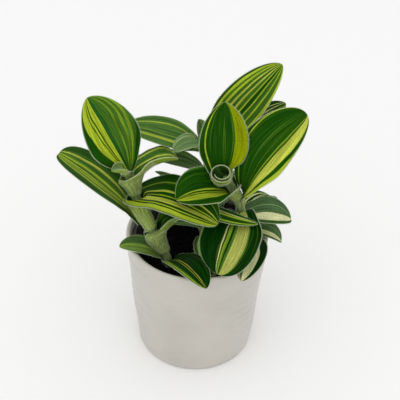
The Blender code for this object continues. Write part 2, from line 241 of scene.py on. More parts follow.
LEAVES = {
    "front_left_rim_leaf": leaf(
        "left_stem", 72, -57, 50, 69, 44, 22,
        [(-0.86, "green"), (-0.76, "lime"), (-0.6, "green"), (-0.42, "dark"), (-0.36, "deep"),
         (-0.2, "dark"), (-0.16, "butter"), (-0.02, "dark"), (0.03, "butter"), (0.4, "dark"),
         (0.46, "deep"), (1, "dark")],
        fold=6, roll=-4, grip=50,
    ),
    "left_rim_leaf": leaf(
        "left_stem", 76.4, -172, 50, 56, 26, 18,
        [(-0.85, "green"), (-0.3, "deep"), (-0.15, "olive"), (-0.06, "lime"), (0.12, "olive"),
         (0.2, "green"), (0.8, "olive"), (1, "green")],
        fold=8, grip=36, fuzz=0.35,
    ),
    "left_shaded_leaf": leaf(
        "left_stem", 82.3, 12, 36, 70, 9, 28,
        [(-0.8, "green"), (-0.6, "deep"), (-0.5, "olive"), (-0.2, "deep"), (-0.1, "olive"),
         (0.2, "deep"), (0.3, "green"), (0.7, "deep"), (1, "green")],
        fold=20, roll=-8, sheath=8, throat=16, flare=0.1, late=0.8, mouth=(26.5, 0, 158), lean=5,
        open=0.2, **SLEEVE,
    ),
    "left_low_leaf": leaf(
        "left_stem", 104.5, 174, 51.5, 28, 60, 31,
        [(-0.6, "deep"), (-0.5, "green"), (-0.4, "butter"), (-0.2, "green"), (-0.1, "lime"),
         (0.0, "green"), (0.08, "butter"), (0.18, "olive"), (0.28, "lime"), (0.4, "green"),
         (0.5, "butter"), (0.6, "green"), (1, "deep")],
        bend=-15, fold=15, cup=10, side=150, widest=0.5, point=0.38, swell=1.5, grip=40, standoff=3.0,
        fuzz=0.1,
    ),
    "left_wide_leaf": leaf(
        "left_stem", 100, -20, 10.5, 41, 43, 37,
        [(-0.94, "deep"), (-0.64, "lime"), (-0.53, "deep"), (-0.45, "lime"), (-0.32, "deep"),
         (-0.05, "butter"), (0.05, "deep"), (0.09, "lime"), (0.24, "deep"), (0.32, "butter"),
         (0.62, "deep"), (0.68, "olive"), (1, "deep")],
        fold=12, cup=8, roll=1, sheath=18, throat=10, flare=0.3, late=0.3, mouth=(18.5, 18, 145), lean=2.5,
        open=0.1, **SLEEVE,
    ),
    "left_arching_leaf": leaf(
        "left_stem", 122.5, 8, 42, 43, 18, 29,
        [(-0.9, "butter"), (-0.7, "green"), (-0.6, "lime"), (-0.35, "green"), (-0.27, "butter"),
         (0.0, "green"), (0.08, "lime"), (0.4, "green"), (0.5, "butter"), (0.8, "green"),
         (0.9, "butter"), (1, "green")],
        fold=20, roll=-20, sheath=7, throat=10, flare=0.1, late=0.4, mouth=(21.5, 15, 150), lean=4,
        open=0.1, fuzz=0.1, **SLEEVE,
    ),
    "left_upright_leaf": leaf(
        "left_stem", 134.4, 163, 67, 10, 49, 35,
        [(-0.93, "deep"), (-0.8, "green"), (-0.7, "olive"), (-0.62, "green"), (-0.54, "olive"),
         (-0.4, "green"), (-0.34, "olive"), (-0.06, "green"), (0.1, "blue"), (0.3, "lime"),
         (0.35, "deep"), (0.41, "lime"), (0.45, "deep"), (0.7, "lime"), (1, "deep")],
        side=100, roll=-42, widest=0.42, point=0.6, swell=1.1, grip=38, fan=0.5,
    ),
    "left_young_leaf": leaf(
        "left_stem", 134.3, -155, 38, 20, 9, 13,
        [(-0.6, "olive"), (-0.2, "grey"), (0.3, "green"), (0.6, "olive"), (1, "grey")],
        side=-88, cup=80, grip=32, fuzz=0.5,
    ),
    "front_right_rim_leaf": leaf(
        "right_stem", 80, -68, 40, 62, 45, 22,
        [(-0.8, "deep"), (-0.72, "ivory"), (-0.62, "deep"), (-0.55, "ivory"), (-0.42, "dark"),
         (-0.35, "olive"), (-0.24, "dark"), (0.55, "ivory"), (1, "dark")],
        bend=-48, grip=50,
    ),
    "right_rim_leaf": leaf("right_stem", 86, -6, 20, 75, 22, 17, CREAM_STRIPES, side=22, grip=42, fuzz=0.1),
    "front_hanging_leaf": leaf(
        "right_stem", 108.5, -101, 0, 57, 41.5, 38,
        [(-0.94, "green"), (-0.24, "dark"), (-0.2, "cream"), (-0.15, "dark"), (-0.04, "olive"),
         (0.02, "dark"), (0.1, "green"), (0.55, "straw"), (0.6, "green"), (1, "dark")],
        bend=-18, roll=6, fold=0, cup=4, widest=0.5, point=0.5, flare=0.8, grip=60,
    ),
    "right_low_leaf": leaf(
        "right_stem", 98, 8, 15, 50, 27, 25, CREAM_STRIPES, side=40, fold=8, roll=6, fuzz=0.1,
    ),
    "right_broad_leaf": leaf(
        "right_stem", 115, 10, 86, 52, 69, 33,
        [(-0.88, "lime"), (-0.73, "deep"), (-0.36, "butter"), (-0.3, "deep"), (-0.24, "olive"),
         (0.2, "deep"), (0.23, "green"), (0.8, "deep"), (0.84, "lime"), (1, "deep")],
        side=-12, fold=6, cup=10, roll=48, widest=0.5, point=0.52, swell=1.6, grip=38, fan=0.3,
    ),
    "middle_leaf": leaf(
        "right_stem", 121, -158, 25, 40, 29, 33,
        [(-0.94, "green"), (-0.16, "deep"), (-0.1, "lime"), (-0.03, "deep"), (0.03, "lime"),
         (0.09, "deep"), (0.45, "lime"), (0.52, "green"), (0.92, "deep"), (1, "green")],
        fold=16, cup=20, roll=-12, sheath=2, throat=9, flare=0.2, late=0.35, open=0.3, **SLEEVE,
    ),
    "right_upright_leaf": leaf(
        "right_stem", 133, 95, 81, -8, 46.5, 30.5,
        [(-0.97, "green"), (-0.46, "gold"), (-0.4, "deep"), (-0.36, "green"), (-0.05, "deep"),
         (-0.02, "green"), (0.72, "deep"), (0.78, "lime"), (1, "deep")],
        side=112, fold=6, widest=0.4, standoff=1.4,
    ),
    "furled_leaf": leaf(
        "right_stem", 135, 80, 108, 0, 3, 47,
        [(-0.94, "grey"), (-0.5, "deep"), (-0.4, "green"), (0.1, "deep"), (0.2, "green"),
         (0.94, "deep"), (1, "grey")],
        fold=0, cup=245, sheath=2, grip=FULL_GRIP, standoff=0.2, furled=True, coil=0.25,
        columns=SLEEVE_COLUMNS, fuzz=0.1,
    ),
    "front_narrow_leaf": leaf(
        "back_stem", 98, -98, 37.5, 48, 52, 13,
        [(-0.9, "deep"), (-0.74, "green"), (-0.5, "lime"), (0.1, "deep"), (0.2, "green"),
         (0.38, "lime"), (0.48, "deep"), (0.62, "cream"), (1, "deep")],
        fold=4, cup=8, bend=104,
    ),
    "back_slender_leaf": leaf("back_stem", 102, 178, 40, 15, 31, 8, SOFT_STRIPES, grip=30, fuzz=0.25),
    "back_right_leaf": leaf("back_stem", 123, 15, 49, 12, 58, 26, PLAIN_STRIPES, side=0, roll=20),
    "back_left_leaf": leaf("back_stem", 121, -172, 35, 30, 27, 19, SOFT_STRIPES, fuzz=0.3),
    "back_long_leaf": leaf(
        "back_stem", 134.6, 173, 17, 8, 47, 31,
        [(-0.85, "green"), (-0.78, "deep"), (-0.7, "green"), (-0.64, "lime"), (-0.4, "green"),
         (-0.34, "deep"), (-0.16, "green"), (-0.1, "olive"), (0.0, "deep"), (0.1, "green"),
         (0.36, "lime"), (0.42, "deep"), (1, "green")],
        side=184, grip=46, fuzz=0.2,
    ),
    "back_tall_leaf": leaf(
        "back_stem", 136, 4, 59, 8, 68, 29,
        [(-0.86, "lime"), (-0.6, "green"), (-0.53, "lime"), (-0.3, "green"), (-0.24, "lime"),
         (-0.05, "deep"), (0.01, "lime"), (0.16, "green"), (0.24, "butter"), (0.38, "green"),
         (0.46, "butter"), (0.58, "green"), (0.68, "lime"), (0.77, "green"), (0.88, "lime"),
         (1, "deep")],
        side=60, roll=50,
    ),
    "back_young_leaf": leaf(
        "back_stem", 138, -145, 43, 60, 25, 18, YOUNG_STRIPES,
        side=-75, cup=25, swell=2, grip=38, roll=4, fuzz=0.7,
    ),
    "back_bud_leaf": leaf(
        "back_stem", 141.4, 135, 76, 5, 11, 10, YOUNG_STRIPES, side=184, cup=30, grip=20, fuzz=0.4,
    ),
    "front_inner_leaf": leaf("back_stem", 72, -84, 25, 30, 46, 18, PLAIN_STRIPES, grip=50),
    "inner_shaded_leaf": leaf("back_stem", 80, -160, 30, 20, 21, 10, SOFT_STRIPES, grip=40),
    "rear_rim_leaf": leaf("back_stem", 76, 85, 30, 30, 46, 26, CREAM_STRIPES),
    "rear_right_leaf": leaf("back_stem", 90, 60, 25, 40, 38, 24, PLAIN_STRIPES),
    "rear_side_leaf": leaf("right_stem", 90, 60, 16, 40, 34, 24, PLAIN_STRIPES, side=80),
}


def unit(vectors):
    """The vectors at length 1."""
    return vectors / np.linalg.norm(vectors, axis=-1, keepdims=True)


def ramp(x):
    """Smooth step from 0 to 1."""
    x = np.clip(x, 0, 1)
    return x * x * (3 - 2 * x)


def direction(heading, pitch):
    """Unit vectors with this heading from +X about +Z and this pitch above level."""
    h, p = np.broadcast_arrays(np.radians(heading), np.radians(pitch))
    return np.stack([np.cos(p) * np.cos(h), np.cos(p) * np.sin(h), np.sin(p)], -1)


def at_stations(stations, known, values):
    """The rows of values, given at the known stations, read at other stations."""
    if values.ndim == 1:
        return np.interp(stations, known, values)
    return np.stack([np.interp(stations, known, column) for column in values.T], -1)


def stem_path(points):
    """A Catmull-Rom curve through the points: arc lengths, evenly spaced places and tangents."""
    p = np.array(points, float)
    ends = np.vstack([2 * p[0] - p[1], p, 2 * p[-1] - p[-2]])
    s = np.linspace(0, len(p) - 1, 40 * (len(p) - 1) + 1)[:-1]
    i = s.astype(int)
    t = (s - i)[:, None]
    a, b, c, d = ends[i], ends[i + 1], ends[i + 2], ends[i + 3]
    cubic = (3 * b - a - 3 * c + d) * t**3
    square = (2 * a - 5 * b + 4 * c - d) * t**2
    fine = np.vstack([0.5 * (2 * b + (c - a) * t + square + cubic), p[-1]])
    arc = np.concatenate([[0], np.cumsum(np.linalg.norm(np.diff(fine, axis=0), axis=1))])
    arcs = np.linspace(0, arc[-1], int(arc[-1] / ARC_STEP) + 1)
    even = at_stations(arcs, arc, fine)
    return arcs, even, unit(np.gradient(even, axis=0))


def grip_radius(form):
    """Distance from the stem's axis to the middle of the leaf base's thickness."""
    return STEM_RADIUS + GAP + BLADE / 2 + form["standoff"]


def leaf_frame(form):
    """The midrib of a leaf and its section at even stations along it.

    The midrib starts beside the stem, follows it for the sheath, and turns through the throat to the
    blade's own heading and pitch. The section's axes turn with it from the stem to the blade. Up to the
    mouth of a funnel-shaped base the midrib also leans away from the stem.
    """
    arcs, path, tangents = stem_path(STEMS[form["stem"]])
    node = np.interp(form["node"], path[:, 2], arcs)
    side = form["heading"] if form["side"] is None else form["side"]
    sheath, throat, length = form["sheath"], form["throat"], form["length"]
    q = np.linspace(0, sheath + throat + length, SPINE_STATIONS)
    tangent = unit(at_stations(node + q, arcs, tangents))
    outward = direction(side, 0) * np.ones((len(q), 1))
    outward = unit(outward - (outward * tangent).sum(1, keepdims=True) * tangent)
    leave = ramp((q - sheath) / throat)[:, None]
    along_blade = np.clip((q - sheath - throat / 2) / (length + throat / 2), 0, 1)
    heading = form["heading"] + form["bend"] * along_blade
    blade = direction(heading, form["pitch"] - form["droop"] * along_blade)
    along = unit(tangent * (1 - leave) + blade * leave)
    level = direction(heading + 90, 0)
    roll = np.radians(form["roll"])
    across = level * np.cos(roll) + np.cross(blade, level) * np.sin(roll)
    wrapped = form["late"] * throat
    settling = 0.6 * (throat - wrapped) + form["settle"] * length
    tilt = ramp((q - sheath - wrapped - 0.4 * (throat - wrapped)) / settling)[:, None]
    side_axis = unit(np.cross(tangent, outward) * (1 - tilt) + across * tilt)
    face = np.cross(blade, across) * tilt - outward * (1 - tilt)
    face = unit(face - (face * side_axis).sum(1, keepdims=True) * side_axis)
    held = np.minimum(np.arange(len(q)), np.searchsorted(q, sheath + throat))
    steps = (along[1:] + along[:-1]) / 2 * (q[1] - q[0])
    travelled = np.vstack([np.zeros((1, 3)), np.cumsum(steps, axis=0)])
    reach = grip_radius(form) + form["lean"] * np.clip(q / (sheath + wrapped), 0, 1)[:, None] ** 1.4
    midrib = at_stations(np.array([node]), arcs, path) + reach * outward[held] + travelled
    return q, midrib, side_axis, face


def leaf_section(form, q):
    """Half width, half angle, fold and coil of the leaf's arc-shaped section at each station.

    The base grips the stem. A funnel-shaped one widens to its mouth, and then half width, half angle and
    fold go over to those of the blade. A rolled leaf coils up as it opens.
    """
    sheath, throat, length = form["sheath"], form["throat"], form["length"]
    mouth = sheath + throat
    start = sheath + form["late"] * throat
    half, wrap, fold = grip_radius(form) * np.radians(form["grip"]), np.radians(form["grip"]), 0.0
    if form["mouth"]:
        wide, folded, wrapped = form["mouth"]
        flaring = np.clip(q / start, 0, 1) ** 1.4
        half = half + (wide - half) * flaring
        wrap = wrap + (np.radians(wrapped) - wrap) * flaring
        fold = fold + np.radians(folded) * flaring
    growing = (q - start) / (mouth - start + form["flare"] * form["widest"] * length)
    growth = np.sin(np.pi / 2 * np.clip(growing, 0, 1)) ** form["swell"]
    half = half + (form["width"] / 2 - half) * growth
    if not form["furled"]:
        narrowing = (q - mouth - form["widest"] * length) / ((1 - form["widest"]) * length)
        half = half * (1 - np.clip(narrowing, 0, 1) ** 2) ** form["point"]
    opening = ramp((q - start) / (mouth - start + form["open"] * length))
    wrap = wrap + (np.radians(form["cup"]) - wrap) * opening
    coil = form["coil"] * ramp(3 * opening)
    folding = ramp((q - sheath - throat / 2) / (throat / 2 + 0.3 * length))
    fold = fold + (np.radians(form["fold"]) - fold) * folding
    return half, wrap, fold, coil


def leaf_sheet(form):
    """Rows of points across a leaf, their places across, half widths and places along the blade.

    Each half of a row is an arc that leaves the midrib at the fold angle and turns by the half angle. A
    coil makes its radius grow from the right edge to the left edge. Places across run from -1 to 1, and
    those along from 0 at the mouth to 1 at the tip. Rows are even along the base and crowd towards the tip.
    """
    q, midrib, side_axis, face = leaf_frame(form)
    half, wrap, fold, coil = leaf_section(form, q)
    mouth = form["sheath"] + form["throat"]
    base = np.linspace(0, mouth, int(mouth / BASE_STEP) + 2)[:-1]
    share = np.linspace(0, 1, BLADE_ROWS)
    blade = mouth + form["length"] * np.sin(np.pi / 2 * share**1.3)
    rows = np.concatenate([base, blade])
    midrib, side_axis, face = (at_stations(rows, q, v)[:, None] for v in (midrib, side_axis, face))
    half, wrap, fold, coil = (at_stations(rows, q, v)[:, None] for v in (half, wrap, fold, coil))
    u = np.linspace(-1, 1, form["columns"] + 1)[None, :]
    angle = fold + np.abs(u) * wrap
    radius = half / wrap
    x = radius * (np.sin(angle) - np.sin(fold)) * np.sign(u) * (1 + coil * u)
    y = radius * (np.cos(fold) - np.cos(angle) * (1 + coil * u))
    points = midrib + x[..., None] * side_axis + y[..., None] * face
    return points, u[0], half[:, 0], (rows - mouth) / form["length"]


def sheet_normals(points):
    """Normals of the sheet's upper face: the direction along the leaf crossed with that to its left."""
    return unit(np.cross(np.gradient(points, axis=0), np.gradient(points, axis=1)))


def ring_quads(rows, ring):
    """Quads between neighbouring closed rings of points, facing outward."""
    i, k = np.meshgrid(np.arange(rows - 1), np.arange(ring), indexing="ij")
    following = (k + 1) % ring
    this, after = i * ring, (i + 1) * ring
    return np.stack([this + k, after + k, after + following, this + following], -1).reshape(-1, 4)


def make_piece(name, points, faces, look, smooth=True):
    """A mesh object on the root body, from points in millimetres."""
    data = bpy.data.meshes.new(name)
    polygons = [face for group in faces for face in np.asarray(group).tolist()]
    data.from_pydata((points * MM).tolist(), [], polygons)
    data.materials.append(look)
    if smooth:
        data.shade_smooth()
    made = bpy.data.objects.new(name, data)
    bpy.context.scene.collection.objects.link(made)
    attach(made, ROOT)
    return made


def blade_shell(form):
    """A leaf as a closed shell: points, faces, and each point's place across, along and face.

    The sheet is moved by half the thickness to each side. The thickness falls with the sixth power of
    the share of the half width, and near the tip. Each row makes one ring: upper face, then lower face.
    """
    sheet, u, half, v = leaf_sheet(form)
    last = len(sheet) if form["furled"] else len(sheet) - 1
    normals = sheet_normals(sheet)[:last]
    thick = EDGE_SHARE + (1 - EDGE_SHARE) * (1 - u**6)
    thick = BLADE / 2 * thick[None, :] * np.clip(half[:last, None] / 4, 0.3, 1)
    upper = sheet[:last] + normals * thick[..., None]
    lower = sheet[:last] - normals * thick[..., None]
    rings = np.concatenate([upper, lower[:, ::-1]], axis=1)
    columns = len(u)
    ring = 2 * columns
    points = rings.reshape(-1, 3)
    across = np.tile(np.concatenate([u, u[::-1]]), last)
    along = np.repeat(v[:last], ring)
    top = np.tile(np.repeat([1.0, 0.0], columns), last)
    j = np.arange(columns - 1)
    base = np.stack([j, j + 1, ring - 2 - j, ring - 1 - j], -1)
    faces = [ring_quads(last, ring), base]
    end = (last - 1) * ring
    if form["furled"]:
        faces.append(base[:, ::-1] + end)
    else:
        k = np.arange(ring)
        tip = np.full(ring, len(points))
        faces.append(np.stack([end + k, tip, end + (k + 1) % ring], -1))
        points = np.vstack([points, sheet[-1, :1]])
        across = np.append(across, 0)
        along = np.append(along, v[-1])
        top = np.append(top, 0.5)
    return points, faces, across, along, top


def make_leaf(name, form, look):
    """A leaf's shell with its places across and along in a UV map and its upper face in an attribute."""
    points, faces, across, along, top = blade_shell(form)
    made = make_piece(name + "_blade", points, faces, look)
    data = made.data
    corners = np.empty(len(data.loops), np.int32)
    data.loops.foreach_get("vertex_index", corners)
    places = np.stack([(across + 1) / 2, along], -1)[corners]
    data.uv_layers.new(name="blade").data.foreach_set("uv", places.ravel().astype(np.float32))
    data.attributes.new("upper_face", "FLOAT", "POINT").data.foreach_set("value", top.astype(np.float32))
    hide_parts(name)


def hair_faces(count):
    """Each hair is a closed spike: three sides and its root."""
    first = 4 * np.arange(count)[:, None]
    sides = np.concatenate([first + [[0, 1, 3]], first + [[1, 2, 3]], first + [[2, 0, 3]]])
    return [sides, first + [[2, 1, 0]]]


def hair_points(roots, aims, lengths):
    """Three root corners a third of a turn apart round each aim, then the point of the hair."""
    helper = np.where(np.abs(aims[:, 2:]) < 0.9, [[0.0, 0.0, 1.0]], [[1.0, 0.0, 0.0]])
    a = unit(np.cross(aims, helper))
    b = np.cross(aims, a)
    turns = 2 * np.pi / 3 * np.arange(3)
    corners = [roots + HAIR_RADIUS * (np.cos(t) * a + np.sin(t) * b) for t in turns]
    return np.stack([*corners, roots + aims * lengths[:, None]], 1).reshape(-1, 3)


def margin_hairs(form, rng):
    """Roots, aims and lengths of the hairs along both edges, leaning outward and towards the tip."""
    sheet = leaf_sheet(form)[0]
    roots, aims = [], []
    for edge, inner in ((0, 1), (-1, -2)):
        line = sheet[:-1, edge]
        out = unit(line - sheet[:-1, inner])
        arc = np.concatenate([[0], np.cumsum(np.linalg.norm(np.diff(line, axis=0), axis=1))])
        places = np.arange(0, arc[-1], MARGIN_HAIR_STEP)
        places = places + rng.uniform(-0.15, 0.15, len(places))
        forward = unit(at_stations(places, arc, np.gradient(line, axis=0)))
        outward = at_stations(places, arc, out)
        roots.append(at_stations(places, arc, line) - HAIR_ROOT * outward)
        aims.append(outward + 0.45 * forward + rng.normal(0, 0.3, (len(places), 3)))
    roots = np.vstack(roots)
    return roots, unit(np.vstack(aims)), MARGIN_HAIR * rng.uniform(0.5, 1.1, len(roots))


def sheath_hairs(form, rng):
    """Hairs on the lower face from the leaf base to a third of the blade, with more of them on a sleeve."""
    sheet, u, _, v = leaf_sheet(form)
    normals = sheet_normals(sheet)
    rows = np.flatnonzero(v < 0.35)
    count = int(SLEEVE_HAIRS * len(rows) * form["grip"] / FULL_GRIP)
    i = rng.choice(rows[:-1], count)
    j = rng.integers(0, len(u) - 1, count)
    a, b = rng.uniform(0, 1, (2, count, 1))
    place = sheet[i, j] * (1 - a) + sheet[i + 1, j] * a + (sheet[i, j + 1] - sheet[i, j]) * b
    aims = -normals[i, j] + rng.normal(0, 0.35, (count, 3))
    return place - normals[i, j] * BLADE / 3, unit(aims), FUZZ_HAIR * rng.uniform(0.4, 1, count)


def stem_hairs(points, rng):
    """Hairs all round a stem above the soil."""
    arcs, path, tangents = stem_path(points)
    count = int(STEM_HAIRS * arcs[-1])
    start = np.interp(SOIL_TOP + 1, path[:, 2], arcs)
    s = rng.uniform(start, arcs[-1], count)
    centre, tangent = at_stations(s, arcs, path), unit(at_stations(s, arcs, tangents))
    out = direction(rng.uniform(0, 360, count), 0)
    out = unit(out - (out * tangent).sum(1, keepdims=True) * tangent)
    aims = out + rng.normal(0, 0.25, (count, 3))
    roots = centre + out * (STEM_RADIUS - HAIR_ROOT)
    return roots, unit(aims), FUZZ_HAIR * rng.uniform(0.4, 1, count)


def make_hairs(stem, points, look):
    """All hairs of a stem and its leaves."""
    rng = np.random.default_rng(HAIR_SEEDS[stem])
    groups = [stem_hairs(points, rng)]
    for form in LEAVES.values():
        if form["stem"] == stem:
            groups += [margin_hairs(form, rng), sheath_hairs(form, rng)]
    roots, aims, lengths = (np.concatenate(part) for part in zip(*groups))
    made = make_piece(stem + "_hairs", hair_points(roots, aims, lengths), hair_faces(len(roots)), look)


def fix_outward(made):
    """Turns all faces of a closed mesh outward."""
    mesh = bmesh.new()
    mesh.from_mesh(made.data)
    bmesh.ops.recalc_face_normals(mesh, faces=mesh.faces)
    mesh.to_mesh(made.data)
    mesh.free()


def make_stem(name, points, look):
    """A tube along the stem's path, swollen by a bell curve at every leaf node.

    Its radius falls with the square root of the distance to its end, which rounds the top.
    """
    arcs, path, tangents = stem_path(points)
    nodes = np.array([form["node"] for form in LEAVES.values() if form["stem"] == name])
    rise = path[:, 2:] - nodes[None, :]
    swell = np.exp(-((rise / NODE_REACH) ** 2)).max(1)
    radius = STEM_RADIUS * (1 - NODE_SWELL * (1 - swell))
    radius = radius * np.sqrt(np.clip((arcs[-1] - arcs + 0.05) / STEM_TOP_ROUND, 0.02, 1))
    turn = 2 * np.pi * np.arange(STEM_SIDES) / STEM_SIDES
    side = unit(np.cross(tangents, [[0.0, 1.0, 0.0]]))
    front = np.cross(side, tangents)
    ring = np.cos(turn)[None, :, None] * side[:, None] + np.sin(turn)[None, :, None] * front[:, None]
    rings = path[:, None] + radius[:, None, None] * ring
    quads = ring_quads(len(path), STEM_SIDES)
    k = np.arange(STEM_SIDES)
    end = (len(path) - 1) * STEM_SIDES
    faces = [quads, [k.tolist()], [(end + k[::-1]).tolist()]]
    made = make_piece(name + "_tube", rings.reshape(-1, 3), faces, look)
    fix_outward(made)
    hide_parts(name)


def pot_radius(z):
    """Outer radius of the pot's straight wall."""
    return POT_BASE_RADIUS + (POT_RIM_RADIUS - POT_BASE_RADIUS) * z / POT_HEIGHT


def inner_pot_radius(z):
    """Outer radius of the inner pot's wall, which leans like the pot's."""
    top = pot_radius(INNER_POT_TOP) - POT_WALL - GAP - INNER_RIM_WIDTH - INNER_RIM_SPACE
    lift = (z - POT_FLOOR) / (INNER_POT_TOP - POT_FLOOR)
    return INNER_POT_BASE_RADIUS + (top - INNER_POT_BASE_RADIUS) * lift


def ridge(turn, z):
    """Height of the thrown ridges: narrow crests of a cosine whose phase sways round the pot.

    The crests lie one spacing apart, slant by slow sines of the turn, and fade in and out along it. They
    also fade out near the foot and the rim.
    """
    phase = z / RIDGE_SPACING + 0.8 * np.sin(turn + 1.0) + 0.3 * np.sin(2 * turn + z / 30)
    crest = (0.5 + 0.5 * np.cos(2 * np.pi * phase)) ** 5
    fade = 0.55 + 0.45 * np.sin(3 * turn + z / 9)
    ends = ramp((z - 4) / 8) * ramp((POT_HEIGHT - 5 - z) / 8)
    return RIDGE_HEIGHT * crest * fade * ends


def turned_surface(name, profile, look, bulge=None):
    """A profile of radius and height carried round the axis, closed at both ends on the axis.

    The optional bulge adds to the radius, by turn, height and radius.
    """
    r, z = np.array(profile, float).T
    turn = 2 * np.pi * np.arange(TURN_STEPS) / TURN_STEPS
    radius = r[1:-1, None] * np.ones((1, TURN_STEPS))
    height = z[1:-1, None] * np.ones((1, TURN_STEPS))
    if bulge is not None:
        radius = radius + bulge(turn[None, :], height, radius)
    rings = np.stack([radius * np.cos(turn), radius * np.sin(turn), height], -1).reshape(-1, 3)
    count = len(rings)
    points = np.vstack([rings, [[0, 0, z[0]], [0, 0, z[-1]]]])
    k = np.arange(TURN_STEPS)
    after = (k + 1) % TURN_STEPS
    end = count - TURN_STEPS
    start_fan = np.stack([after, k, np.full(TURN_STEPS, count)], -1)
    end_fan = np.stack([end + k, end + after, np.full(TURN_STEPS, count + 1)], -1)
    made = make_piece(name, points, [ring_quads(len(r) - 2, TURN_STEPS), start_fan, end_fan], look)
    fix_outward(made)
    made.data.set_sharp_from_angle(angle=np.radians(SHARP_ANGLE))
    return made


def pot_profile():
    """The pot from its inner floor over the rounded lip and down the wall to its foot."""
    shoulder = POT_HEIGHT - LIP_ROUND
    lip = pot_radius(shoulder) - POT_WALL / 2
    over = np.linspace(np.pi, 0, LIP_STEPS)
    under = np.linspace(0, np.pi / 2, FOOT_STEPS)
    foot = pot_radius(FOOT_ROUND) - FOOT_ROUND
    inside = np.linspace(POT_FLOOR + FLOOR_CORNER, shoulder, INSIDE_STEPS)[:-1]
    outside = np.linspace(shoulder, FOOT_ROUND, WALL_STEPS)[1:-1]
    return [
        (0, POT_FLOOR),
        (pot_radius(POT_FLOOR) - POT_WALL - FLOOR_CORNER, POT_FLOOR),
        *zip(pot_radius(inside) - POT_WALL, inside),
        *zip(lip + POT_WALL / 2 * np.cos(over), shoulder + LIP_ROUND * np.sin(over)),
        *zip(pot_radius(outside), outside),
        *zip(foot + FOOT_ROUND * np.cos(under), FOOT_ROUND - FOOT_ROUND * np.sin(under)),
        (0, 0),
    ]


def pot_bulge(turn, height, radius):
    """Ridges on the outer wall only."""
    outside = radius > pot_radius(height) - 0.05
    return np.where(outside, ridge(turn, height), 0)


def inner_pot_profile():
    """The thin inner pot: it stands one gap above the pot's floor and ends in a small rim."""
    foot = POT_FLOOR + GAP
    floor = foot + INNER_POT_WALL
    rim_foot = INNER_POT_TOP - INNER_RIM_DEPTH
    top = inner_pot_radius(INNER_POT_TOP)
    return [
        (0, floor),
        (inner_pot_radius(floor) - INNER_POT_WALL, floor),
        (top - INNER_POT_WALL, INNER_POT_TOP - INNER_EDGE_BEVEL),
        (top - INNER_POT_WALL + INNER_EDGE_BEVEL, INNER_POT_TOP),
        (top + INNER_RIM_WIDTH - INNER_RIM_BEVEL, INNER_POT_TOP),
        (top + INNER_RIM_WIDTH, INNER_POT_TOP - INNER_RIM_BEVEL),
        (inner_pot_radius(rim_foot) + INNER_RIM_WIDTH, rim_foot),
        (inner_pot_radius(rim_foot), rim_foot - INNER_RIM_WIDTH),
        (inner_pot_radius(foot), foot),
        (0, foot),
    ]


def crumb_shape():
    """The corners and faces of a small lump: an octahedron with every face split once."""
    corners = np.array([[1, 0, 0], [-1, 0, 0], [0, 1, 0], [0, -1, 0], [0, 0, 1], [0, 0, -1]], float)
    mids = unit(np.array([
        [1, 1, 0], [-1, 1, 0], [-1, -1, 0], [1, -1, 0], [1, 0, 1], [-1, 0, 1],
        [0, 1, 1], [0, -1, 1], [1, 0, -1], [-1, 0, -1], [0, 1, -1], [0, -1, -1],
    ], float))
    points = np.vstack([corners, mids])
    top = [(0, 2, 4, 6, 12, 10), (2, 1, 4, 7, 11, 12), (1, 3, 4, 8, 13, 11), (3, 0, 4, 9, 10, 13)]
    low = [(2, 0, 5, 6, 14, 16), (1, 2, 5, 7, 16, 15), (3, 1, 5, 8, 15, 17), (0, 3, 5, 9, 17, 14)]
    faces = []
    for a, b, c, ab, bc, ca in top + low:
        faces += [(a, ab, ca), (ab, b, bc), (ca, bc, c), (ab, bc, ca)]
    return points, np.array(faces)


def make_crumbs(look):
    """Lumps strewn evenly over the soil and clear of the stems, their centres a little above it.

    Each is stretched along its axes, made bumpy and turned about the vertical by chance.
    """
    rng = np.random.default_rng(CRUMB_SEED)
    shape, faces = crumb_shape()
    reach = inner_pot_radius(SOIL_TOP) - INNER_POT_WALL - GAP - CRUMB_POT_SPACE
    r = reach * np.sqrt(rng.uniform(0, 1, CRUMBS))
    turn = rng.uniform(0, 2 * np.pi, CRUMBS)
    size = rng.uniform(*CRUMB_RADII, CRUMBS) * rng.uniform(0.5, 1, CRUMBS)
    centre = np.stack([r * np.cos(turn), r * np.sin(turn), SOIL_TOP + CRUMB_LIFT + 0.5 * size], -1)
    for route in STEMS.values():
        path = np.array(route, float)
        x, y, _ = at_stations(np.array([SOIL_TOP]), path[:, 2], path)[0]
        keep = np.hypot(centre[:, 0] - x, centre[:, 1] - y) > STEM_RADIUS + CRUMB_STEM_SPACE
        centre, size = centre[keep], size[keep]
    stretch = rng.uniform(0.6, 1.3, (len(centre), 1, 3)) * np.array([1, 1, 0.8])
    bumps = 1 + 0.25 * rng.normal(0, 1, (len(centre), len(shape), 1))
    spin = rng.uniform(0, 2 * np.pi, len(centre))
    c, s = np.cos(spin)[:, None], np.sin(spin)[:, None]
    local = shape[None] * stretch * bumps * size[:, None, None]
    x, y, z = np.moveaxis(local, -1, 0)
    turned = np.stack([c * x - s * y, s * x + c * y, z], -1)
    points = (turned + centre[:, None]).reshape(-1, 3)
    all_faces = (faces[None] + len(shape) * np.arange(len(centre))[:, None, None]).reshape(-1, 3)
    made = make_piece("soil_crumbs", points, [all_faces], look, smooth=False)


def linear(display):
    """A display colour from 0 to 255 as linear light."""
    c = np.array(display) / 255
    return tuple(np.where(c <= 0.04045, c / 12.92, ((c + 0.055) / 1.055) ** 2.4).tolist())


def solid(display):
    """A display colour as a shader's colour with full alpha."""
    return (*linear(display), 1.0)


def new_look(name):
    """A material, its node tree and its Principled shader."""
    made = bpy.data.materials.new(name)
    made.use_nodes = True
    return made, made.node_tree, made.node_tree.nodes["Principled BSDF"]


def fill(tree, node, inputs):
    """Gives a shader node its inputs: each is a value or another node's output."""
    for key, value in inputs.items():
        if isinstance(value, bpy.types.NodeSocket):
            tree.links.new(value, node.inputs[key])
        else:
            node.inputs[key].default_value = value


